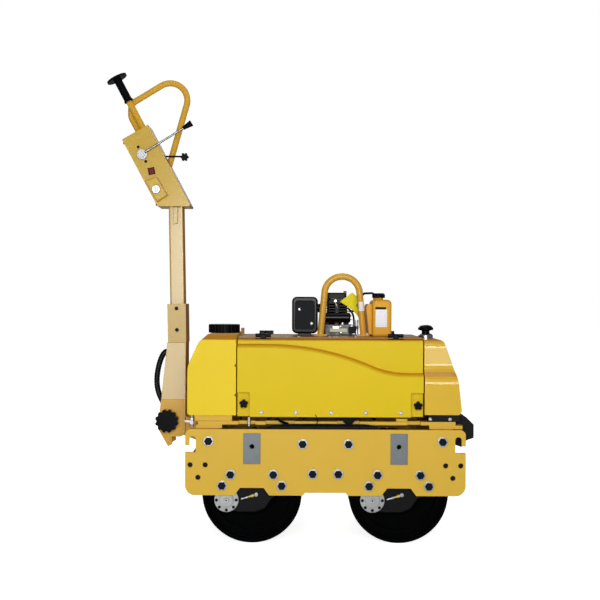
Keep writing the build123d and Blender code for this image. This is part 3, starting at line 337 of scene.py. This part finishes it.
# Faces of one node that take a second finish: the node, the finish and a test on the face.
FACE_FINISHES = (
    ("plate_bolts", "dark_hex", lambda face: abs(face.center.y) > WASHER_FACE_Y),
    ("air_cleaner", "cleaner_face",
     lambda face: abs(face.center.y - CLEANER_Y * MM) < 0.8 * MM),
    ("engine_cylinder", "gloss_black", lambda face: face.center.z > CYLINDER_TOP),
    ("tank_strips", "frame_yellow", lambda face: face.center.x < MID_X),
    ("breather_cap", "dark_chrome", lambda face: face.center.z < BREATHER_COLLAR_TOP),
    ("drum_fittings", "fitting_yellow", lambda face: fitting_band(face.center)),
    ("travel_lever", "dark_chrome", lambda face: face.normal.y < -0.95),
    # Painted shade: the arm's lower part takes the bail's more orange, less glossy paint, a shaded
    # copy of the arm's own.
    ("steering_arm", "bail_paint", lambda face: face.center.z < ARM_DOUBLER_TOP),
    # Forward faces of the arm, sleeve, column and head take painted shade.
    ("steering_arm", "edge_paint", lambda face: face.normal.x > ARM_EDGE_LEAN),
    ("clamp_sleeve", "edge_paint", lambda face: face.normal.x > ARM_EDGE_LEAN),
    ("column", "edge_paint", lambda face: face.normal.x > ARM_EDGE_LEAN),
    ("control_head", "edge_paint", lambda face: face.normal.x > HEAD_EDGE_LEAN),
)


def fitting_band(spot):
    """Whether a face lies in the painted middle of a drum's grease fitting."""
    along = min(abs(spot.x - MID_X - FITTING_MIDDLE - drum_u * MM) for drum_u in (-DRUM_U, DRUM_U))
    return along < FITTING_HALF_BAND and spot.z < FITTING_BAND_TOP


class ROLLER_OT_finishes(bpy.types.Operator):
    """Make every finish and give each CAD node the one of its material slot"""

    bl_idname = "roller.finishes"
    bl_label = "Finishes"

    def execute(self, context):
        grain_group()
        paint = context.scene.roller_paint
        for table in (FINISHES, TRIM_FINISHES):
            for name, (colour, *values) in table.items():
                if isinstance(colour, str):
                    colour = tuple(getattr(paint, colour))
                finish(name, colour, *values)
        for row in frame["record"]["subparts"]:
            node = NODES[row["node"]]
            node.data.materials.clear()
            name = NODE_FINISHES.get(row["node"], row["material_slot"])
            node.data.materials.append(bpy.data.materials[LOOK + name])
        for name, second, test in FACE_FINISHES:
            mesh = NODES[name].data
            mesh.materials.append(bpy.data.materials[LOOK + second])
            for face in mesh.polygons:
                if test(face):
                    face.material_index = len(mesh.materials) - 1
        return {"FINISHED"}


# Small pieces


def put(name, mesh, material, body):
    """Link a finished bmesh as a named piece that rides on a CAD body."""
    data = bpy.data.meshes.new(name)
    bmesh.ops.recalc_face_normals(mesh, faces=mesh.faces)
    mesh.to_mesh(data)
    mesh.free()
    data.materials.append(bpy.data.materials[LOOK + material])
    piece = bpy.data.objects.new(name, data)
    bpy.context.scene.collection.objects.link(piece)
    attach(piece, body)
    return piece


def turned(axis):
    """The rotation that takes +Z to an axis."""
    return Vector(axis).to_track_quat("Z", "Y").to_matrix().to_4x4()


def add_disc(mesh, centre, axis, radius, height, sides=20, top=None):
    """A short cylinder or cone that stands on its centre and points along the axis."""
    direction = Vector(axis).normalized()
    matrix = Matrix.Translation(centre + direction * height / 2) @ turned(direction)
    bmesh.ops.create_cone(
        mesh, cap_ends=True, segments=sides, radius1=radius,
        radius2=radius if top is None else top, depth=height, matrix=matrix,
    )


def add_box(mesh, low, high):
    """A box between two corners."""
    low, high = Vector(low), Vector(high)
    matrix = Matrix.Translation((low + high) / 2) @ Matrix.Diagonal((*(high - low), 1))
    bmesh.ops.create_cube(mesh, size=1.0, matrix=matrix)


def add_prism(mesh, points, push):
    """A flat outline pushed along a vector."""
    verts = [mesh.verts.new(p) for p in points]
    face = mesh.faces.new(verts)
    grown = bmesh.ops.extrude_face_region(mesh, geom=[face])
    moved = [v for v in grown["geom"] if isinstance(v, bmesh.types.BMVert)]
    bmesh.ops.translate(mesh, verts=moved, vec=push)


def add_dome(mesh, centre, axis, radius, height):
    """A low dome head made of two stacked cones."""
    direction = Vector(axis).normalized()
    add_disc(mesh, centre, direction, radius, height * 0.55, 18, radius * 0.92)
    add_disc(mesh, centre + direction * height * 0.5, direction, radius * 0.92, height * 0.5, 18,
             radius * 0.45)


def put_line(name, points, radius, material, body):
    """A round line through a smooth curve with these points, as a piece that rides on a body."""
    data = bpy.data.curves.new(name, "CURVE")
    data.dimensions = "3D"
    data.bevel_depth = radius
    data.bevel_resolution = 3
    data.use_fill_caps = True
    spline = data.splines.new("NURBS")
    spline.points.add(len(points) - 1)
    for point, spot in zip(spline.points, points):
        point.co = (*spot, 1)
    spline.order_u = 3
    spline.use_endpoint_u = True
    data.materials.append(bpy.data.materials[LOOK + material])
    piece = bpy.data.objects.new(name, data)
    bpy.context.scene.collection.objects.link(piece)
    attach(piece, body)
    return piece


class RollerTrim(bpy.types.PropertyGroup):
    """Sizes of the small pieces."""

    screw_radius: bpy.props.FloatProperty(
        name="Cover screws", description="Radius of a cover screw's head", unit="LENGTH",
        default=0.009,
    )
    flange_bolt_circle: bpy.props.FloatProperty(
        name="Flange bolts", description="Radius of the bolt circle on a drive flange",
        unit="LENGTH", default=0.0425,
    )
    wrap_pitch: bpy.props.FloatProperty(
        name="Hose wrap", description="Distance from one turn of the hose's wrap to the next",
        unit="LENGTH", default=0.012,
    )
    tape_span: bpy.props.FloatVectorProperty(
        name="Bail tape", description="Lower and upper end of the white tape on the bail",
        unit="LENGTH", size=2, default=(0.988, 1.03),
    )


class ROLLER_OT_cover_screws(bpy.types.Operator):
    """Dome screws along the covers' lower edges and bolts on the deck"""

    bl_idname = "roller.cover_screws"
    bl_label = "Cover screws"

    def execute(self, context):
        radius = context.scene.roller_trim.screw_radius
        for side, way in (("right", -1), ("left", 1)):
            mesh = bmesh.new()
            for u in (-274, -126, 23, 173, 322):
                add_dome(mesh, place(u, way * COVER_Y, 557), (0, way, 0), radius, 4 * MM)
            put(f"cover_screws_{side}", mesh, "chrome_screw", f"cover_{side}")
        mesh = bmesh.new()
        for y in (-218, 218):
            for u in (-115, 18.6, 131):
                add_dome(mesh, place(u, y, 876), (0, 0, 1), 8 * MM, 5 * MM)
        put("deck_screws", mesh, "chrome_screw", "chassis")
        # Dark brown discs at each cover's rear seam: painted shade in the seam's notches.
        mesh = bmesh.new()
        for way in (-1, 1):
            for z in (756, 630):
                add_disc(mesh, place(-384, way * COVER_Y, z), (0, way, 0), 6 * MM, 0.6 * MM, 18)
        put("seam_clips", mesh, "seam_brown", "chassis")
        return {"FINISHED"}


class ROLLER_OT_flange_bolts(bpy.types.Operator):
    """Dark socket bolts in a circle on each drive flange, with a boss in its middle"""

    bl_idname = "roller.flange_bolts"
    bl_label = "Flange bolts"

    def execute(self, context):
        ring = context.scene.roller_trim.flange_bolt_circle
        mesh = bmesh.new()
        bosses = bmesh.new()
        for way in (-1, 1):
            for drum_u in (-DRUM_U, DRUM_U):
                flange_u = drum_u - FLANGE_BEHIND_DRUM
                for count in range(8):
                    angle = math.radians(count * 45)
                    centre = place(flange_u, way * 288, FLANGE_Z)
                    centre += Vector((math.cos(angle), 0, math.sin(angle))) * ring
                    add_disc(mesh, centre, (0, way, 0), 6.5 * MM, 4 * MM, 14)
                hub = place(flange_u, way * 295, FLANGE_Z)
                add_disc(bosses, hub, (0, way, 0), 10 * MM, 4 * MM, 20, 8 * MM)
                add_disc(mesh, hub, (0, way, 0), 4 * MM, 5 * MM, 6)
        put("flange_bolts", mesh, "dark_hex", "chassis")
        put("flange_bosses", bosses, "chrome_screw", "chassis")
        return {"FINISHED"}


class ROLLER_OT_engine_trim(bpy.types.Operator):
    """Blank tag, blank label, tape, screws, linkage and leads round the open engine"""

    bl_idname = "roller.engine_trim"
    bl_label = "Engine trim"

    def execute(self, context):
        mesh = bmesh.new()
        for u, z in ((-114, 995), (-58, 932)):
            add_dome(mesh, place(u, CLEANER_Y, z), (0, -1, 0), 6.5 * MM, 4 * MM)
        for u, z in ((76, 888), (124, 888), (76, 918), (124, 918)):
            add_dome(mesh, place(u, 36, z), (0, -1, 0), 4.5 * MM, 4 * MM)
        put("engine_screws", mesh, "chrome_screw", "chassis")

        mesh = bmesh.new()
        tag = ((129.5, 1073.5), (73.6, 1030.5), (133.6, 990), (159.5, 958.5), (170, 1040))
        add_prism(mesh, [place(u, 82, z) for u, z in tag], Vector((0, -1.2 * MM, 0)))
        put("blank_tag", mesh, "tag_yellow", "chassis")

        mesh = bmesh.new()
        add_box(mesh, place(225, -105.6, 917), place(277, -105, 996))
        low, high = context.scene.roller_trim.tape_span
        foot, head = place(177.5, 0, 878), place(164.5, 0, 1029)
        lean = (head - foot) / (head.z - foot.z)
        start = foot + lean * (low - foot.z)
        add_disc(mesh, start, lean, 15.7 * MM, (high - low) * lean.length, 28)
        put("blank_labels", mesh, "label_white", "chassis")

        mesh = bmesh.new()
        add_box(mesh, place(224, -105.5, 997.5), place(272, -105, 1007))
        add_box(mesh, place(111, 26, 885), place(143, 36, 917))
        put("engine_leads", mesh, "black_plastic", "chassis")

        mesh = bmesh.new()
        add_box(mesh, place(26, 33, 891), place(106, 36, 908))
        put("control_plate", mesh, "plate_cream", "chassis")

        mesh = bmesh.new()
        add_disc(mesh, place(150, 44, 876), (0, 0, 1), 7 * MM, 71 * MM, 16)
        add_disc(mesh, place(150, 44, 905), (0, 0, 1), 9.5 * MM, 14 * MM, 6)
        add_disc(mesh, place(120, 20, 957), (1, 0, 0), 9 * MM, 6 * MM, 6)
        add_box(mesh, place(40, 40, 908), place(68, 76, 918))
        add_disc(mesh, place(54, 46, 917), (0, 0, 1), 9 * MM, 12 * MM, 6)
        add_disc(mesh, place(52, 82, 1034), (0, -1, 0), 6 * MM, 9 * MM, 6)
        put("engine_linkage", mesh, "chrome_screw", "chassis")

        for name, radius, material, points in (
            ("spark_lead", 4, "black_plastic",
             ((30, 84, 1046), (22, 62, 1040), (-6, 42, 1018), (-32, 40, 1006))),
            ("throttle_cable", 4.5, "black_plastic",
             ((136, 31, 915), (137, 32, 950), (128, 50, 985), (110, 81, 1000))),
            ("intake_pipe", 8, "chrome_screw",
             ((84, 52, 924), (84, 52, 940), (104, 58, 950), (117, 68, 956), (118, 84, 966))),
            ("choke_rod", 2.6, "chrome_screw",
             ((52, 82, 1034), (52, 74, 1032), (60, 74, 1004), (64, 79, 992))),
            ("control_wire", 2.2, "wire_olive",
             ((24, 82, 1047), (26, 76, 1046), (52, 75, 1042), (78, 76, 1036), (80, 82, 1035))),
        ):
            put_line(name, [place(*point) for point in points], radius * MM, material,
                     "chassis")

        mesh = bmesh.new()
        add_box(mesh, place(90, 86, 1060), place(104, 96, 1080))
        put("throttle_tab", mesh, "lever_brown", "chassis")
        return {"FINISHED"}


class ROLLER_OT_frame_trim(bpy.types.Operator):
    """Pin, funnel, hoses and bolts in the gap between the covers and the side plates"""

    bl_idname = "roller.frame_trim"
    bl_label = "Frame trim"

    def execute(self, context):
        mesh = bmesh.new()
        white = bmesh.new()
        black = bmesh.new()
        for way in (-1, 1):
            add_disc(mesh, place(-327.5, way * 279.5, 496), (0, 0, 1), 7 * MM, 38 * MM, 18)
            for u in (448, 533):
                add_dome(white, place(u, way * 291, 529), (0, way, 0), 8 * MM, 4 * MM)
            funnel = ((61, 534), (138, 534), (112, 506), (88, 506))
            add_prism(black, [place(u, way * 272, z) for u, z in funnel],
                      Vector((0, way * 18 * MM, 0)))
            side = "right" if way < 0 else "left"
            for name, radius, points in (
                ("upper_hose", 4.5,
                 ((-262, 303, 480), (-238, 303, 502), (-120, 303, 504.7), (120, 303, 504.7),
                  (210, 303, 502), (236, 303, 480))),
                ("cover_hose", 6,
                 ((-226, 279, 548), (-208, 280, 530), (-184, 286, 512), (-160, 300, 508))),
                ("cover_wire", 2,
                 ((-44, 299, 548), (-34, 299, 530), (-34, 300, 516), (-38, 303, 506))),
            ):
                put_line(f"{name}_{side}", [place(u, way * y, z) for u, y, z in points],
                         radius * MM, "black_plastic", "chassis")
        put("rail_pins", mesh, "chrome_screw", "chassis")
        put("strip_bolts", white, "chrome_screw", "chassis")
        put("rail_funnels", black, "black_plastic", "chassis")
        return {"FINISHED"}


class ROLLER_OT_arm_hose(bpy.types.Operator):
    """The wrapped hose that bows out behind the steering arm"""

    bl_idname = "roller.arm_hose"
    bl_label = "Arm hose"

    def execute(self, context):
        route = ((-708.3, 802), (-727, 803), (-752, 740), (-762, 660), (-746, 592), (-716, 548))
        points = [place(u, 0, z) for u, z in route]
        hose = put_line("hose", points, 12.5 * MM, "gloss_black", "handle")
        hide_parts("arm_hose")
        hose.data.bevel_depth = 0.0
        line = bpy.data.meshes.new_from_object(hose)
        hose.data.bevel_depth = 12.5 * MM
        spots = [vertex.co.copy() for vertex in line.vertices]
        bpy.data.meshes.remove(line)

        mesh = bmesh.new()
        pitch = context.scene.roller_trim.wrap_pitch
        travel = 0.0
        across = Vector((0, 1, 0))
        for first, second in zip(spots, spots[1:]):
            ahead = second - first
            while travel < ahead.length:
                direction = ahead.normalized()
                up = (direction + across * 0.35).normalized()
                add_disc(mesh, first + direction * travel, up, 13.1 * MM, 3 * MM, 24)
                travel += pitch
            travel -= ahead.length
        wrap = put("hose_wrap", mesh, "hose_ridge", "handle")
        return {"FINISHED"}


class ROLLER_OT_head_trim(bpy.types.Operator):
    """Screws, rocker switch, key switch and a skirt round the key box on the control head"""

    bl_idname = "roller.head_trim"
    bl_label = "Head trim"

    def execute(self, context):
        mesh = bmesh.new()
        for u, z in ((-837, 1718), (-803, 1653)):
            add_dome(mesh, place(u, HEAD_Y, z), (0, -1, 0), 6.5 * MM, 4 * MM)
        for u, z in ((-663, 997), (-661, 901)):
            add_disc(mesh, place(u, -75, z), (0, -1, 0), 9 * MM, 6 * MM, 6)
        rearward = Vector((-0.881, 0, -0.473))
        for u, z in ((-903.5, 1741), (-755.5, 1465)):
            add_disc(mesh, place(u, -40, z), rearward, 5 * MM, 7 * MM, 12)
        add_disc(mesh, place(-754, -101, 1527), (0, -1, 0), 19.5 * MM, 2 * MM, 32)
        put("head_screws", mesh, "dark_hex", "handle")

        mesh = bmesh.new()
        outline = ((-801, 1562), (-752, 1579), (-707, 1504), (-748, 1476))
        middle = place(-752, HEAD_Y, 1530)
        corners = [middle + (place(u, HEAD_Y, z) - middle) * 1.13 for u, z in outline]
        verts = [mesh.verts.new(corner) for corner in corners]
        grown = bmesh.ops.extrude_face_region(mesh, geom=[mesh.faces.new(verts)])
        moved = [v for v in grown["geom"] if isinstance(v, bmesh.types.BMVert)]
        bmesh.ops.scale(mesh, verts=moved, vec=(0.89, 1, 0.89), space=Matrix.Translation(-middle))
        bmesh.ops.translate(mesh, verts=moved, vec=(0, -22.5 * MM, 0))
        put("key_box_skirt", mesh, "head_paint", "handle")

        mesh = bmesh.new()
        add_disc(mesh, place(-754, -102.5, 1527), (0, -1, 0), 17 * MM, 4 * MM, 32)
        put("key_switch", mesh, "chrome_screw", "handle")

        mesh = bmesh.new()
        add_disc(mesh, place(-754, -106, 1527), (0, -1, 0), 11.5 * MM, 1.2 * MM, 28)
        add_box(mesh, place(-755, -109.2, 1521), place(-753, -108, 1533))
        corners = self.turned_square(-777, 1610, 15, 16, -82)
        add_prism(mesh, corners, Vector((0, 2 * MM, 0)))
        put("switch_frame", mesh, "black_plastic", "handle")

        mesh = bmesh.new()
        add_disc(mesh, place(-754, -106.5, 1527), (0, -1, 0), 10 * MM, 2 * MM, 28)
        put("key_barrel", mesh, "dark_chrome", "handle")

        mesh = bmesh.new()
        corners = self.turned_square(-777, 1610, 11.5, 13, -86)
        add_prism(mesh, corners, Vector((0, 4 * MM, 0)))
        put("rocker_switch", mesh, "switch_red", "handle")
        return {"FINISHED"}

    def turned_square(self, u, z, half_width, half_height, y):
        """Corners of a rectangle on the head's face, turned with the head a little."""
        lean = math.radians(12)
        corners = []
        for across, up in ((-1, -1), (1, -1), (1, 1), (-1, 1)):
            side = across * half_width
            rise = up * half_height
            corners.append(
                place(u + side * math.cos(lean) - rise * math.sin(lean), y,
                      z + side * math.sin(lean) + rise * math.cos(lean))
            )
        return corners


class ROLLER_OT_stage(bpy.types.Operator):
    """Floor, surroundings, lights and the camera at the photograph's place"""

    bl_idname = "roller.stage"
    bl_label = "Stage"

    def execute(self, context):
        scene = context.scene
        values = scene.roller_stage
        scene.view_settings.view_transform = "Standard"
        scene.view_settings.look = "None"

        world = bpy.data.worlds.new("roller_surroundings")
        scene.world = world
        world.use_nodes = True
        tree = world.node_tree
        tree.nodes.clear()
        output = tree.nodes.new("ShaderNodeOutputWorld")
        rays = tree.nodes.new("ShaderNodeLightPath")
        light = tree.nodes.new("ShaderNodeBackground")
        light.inputs["Color"].default_value = (1, 1, 1, 1)
        light.inputs["Strength"].default_value = values.world_strength
        dim = tree.nodes.new("ShaderNodeBackground")
        dim.inputs["Color"].default_value = (1, 1, 1, 1)
        dim.inputs["Strength"].default_value = 0.16
        seen = tree.nodes.new("ShaderNodeBackground")
        seen.inputs["Color"].default_value = (1, 1, 1, 1)
        seen.inputs["Strength"].default_value = 1.0
        mirrored = tree.nodes.new("ShaderNodeMixShader")
        mix = tree.nodes.new("ShaderNodeMixShader")
        tree.links.new(rays.outputs["Is Glossy Ray"], mirrored.inputs["Fac"])
        tree.links.new(light.outputs["Background"], mirrored.inputs[1])
        tree.links.new(dim.outputs["Background"], mirrored.inputs[2])
        tree.links.new(rays.outputs["Is Camera Ray"], mix.inputs["Fac"])
        tree.links.new(mirrored.outputs["Shader"], mix.inputs[1])
        tree.links.new(seen.outputs["Background"], mix.inputs[2])
        tree.links.new(mix.outputs["Shader"], output.inputs["Surface"])

        floor_material = bpy.data.materials.new("floor_white")
        floor_material.use_nodes = True
        tree = floor_material.node_tree
        shader = tree.nodes["Principled BSDF"]
        shader.inputs["Base Color"].default_value = (0.8, 0.8, 0.8, 1)
        shader.inputs["Roughness"].default_value = 0.9
        shader.inputs["Specular IOR Level"].default_value = 0.0
        shader.inputs["Emission Color"].default_value = (1, 1, 1, 1)
        rays = tree.nodes.new("ShaderNodeLightPath")
        glow = tree.nodes.new("ShaderNodeMath")
        glow.operation = "MULTIPLY"
        glow.inputs[1].default_value = 0.86
        tree.links.new(rays.outputs["Is Camera Ray"], glow.inputs[0])
        tree.links.new(glow.outputs["Value"], shader.inputs["Emission Strength"])
        mesh = bmesh.new()
        bmesh.ops.create_grid(mesh, x_segments=1, y_segments=1, size=40)
        data = bpy.data.meshes.new("floor")
        mesh.to_mesh(data)
        mesh.free()
        data.materials.append(floor_material)
        floor = bpy.data.objects.new("floor", data)
        floor.location = (0, 0, -0.0005)
        scene.collection.objects.link(floor)

        power = values.key_power
        for name, spot, target, size, share in (
            ("strip", (-1.12, -5.05, 0.82), (-1.12, 0, 0.82), (0.7, 2.1), 0.52),
            ("side_box", (1.3, -5.05, 0.56), (1.3, 0, 0.56), (0.62, 0.13), 0.019),
            ("bar_high", (1.3, -5.05, 0.635), (1.3, 0, 0.635), (0.52, 0.016), 0.007),
            ("bar_middle", (1.3, -5.05, 0.485), (1.3, 0, 0.485), (0.55, 0.016), 0.007),
            ("bar_low", (1.33, -5.05, 0.33), (1.33, 0, 0.33), (0.6, 0.016), 0.007),
            ("front_box", (0.15, -4.6, 1.6), (0.1, 0, 0.7), (2.0, 1.4), 1.8),
            ("top_box", (0.2, -0.4, 4.2), (0, 0, 0.8), (2.0, 2.0), 0.3),
            ("rear_box", (-0.3, 4.3, 2.8), (0, 0, 0.5), (2.6, 1.2), 0.6),
        ):
            lamp = bpy.data.lights.new(name, "AREA")
            lamp.shape = "RECTANGLE"
            lamp.size, lamp.size_y = size
            lamp.energy = power * share
            holder = bpy.data.objects.new(name, lamp)
            holder.location = spot
            aim = Vector(target) - Vector(spot)
            holder.rotation_euler = aim.to_track_quat("-Z", "Y").to_euler()
            # The lights shine, but the camera doesn't see them from any side.
            holder.visible_camera = False
            scene.collection.objects.link(holder)

        lens = bpy.data.cameras.new("camera")
        lens.lens = values.camera_lens
        lens.sensor_width = 36
        camera = bpy.data.objects.new("camera", lens)
        roll = math.radians(-0.25)
        camera.matrix_world = (
            Matrix.Translation((0.063, -PLATE_Y - values.camera_distance, values.camera_height))
            @ Matrix.Rotation(roll, 4, "Y")
            @ Matrix.Rotation(math.radians(90), 4, "X")
        )
        scene.collection.objects.link(camera)
        scene.camera = camera
        return {"FINISHED"}


class ROLLER_PT_panel(bpy.types.Panel):
    """Lists the roller's settings and the steps that build its looks"""

    bl_idname = "ROLLER_PT_panel"
    bl_label = "Roller"
    bl_space_type = "VIEW_3D"
    bl_region_type = "UI"
    bl_category = "Roller"

    def draw(self, context):
        layout = self.layout
        for group in SETTINGS.keys():
            settings = getattr(context.scene, group)
            for name in settings.bl_rna.properties.keys():
                if name not in ("rna_type", "name"):
                    layout.prop(settings, name)
        for operator in OPERATORS:
            layout.operator(operator.bl_idname)


SETTINGS = {
    "roller_paint": RollerPaint,
    "roller_trim": RollerTrim,
    "roller_stage": RollerStage,
}
OPERATORS = (
    ROLLER_OT_finishes,
    ROLLER_OT_cover_screws,
    ROLLER_OT_flange_bolts,
    ROLLER_OT_engine_trim,
    ROLLER_OT_frame_trim,
    ROLLER_OT_arm_hose,
    ROLLER_OT_head_trim,
    ROLLER_OT_stage,
)


def register():
    """Register the settings, operators and panel."""
    for name, group in SETTINGS.items():
        bpy.utils.register_class(group)
        setattr(bpy.types.Scene, name, bpy.props.PointerProperty(type=group))
    for operator in OPERATORS:
        bpy.utils.register_class(operator)
    bpy.utils.register_class(ROLLER_PT_panel)


def unregister():
    """Take back what register did."""
    bpy.utils.unregister_class(ROLLER_PT_panel)
    for operator in reversed(OPERATORS):
        bpy.utils.unregister_class(operator)
    for name, group in reversed(SETTINGS.items()):
        delattr(bpy.types.Scene, name)
        bpy.utils.unregister_class(group)


def main():
    """Build the looks on the frame."""
    register()
    bpy.ops.roller.finishes()
    bpy.ops.roller.cover_screws()
    bpy.ops.roller.flange_bolts()
    bpy.ops.roller.engine_trim()
    bpy.ops.roller.frame_trim()
    bpy.ops.roller.arm_hose()
    bpy.ops.roller.head_trim()
    bpy.ops.roller.stage()


if __name__ == "__main__":
    main()
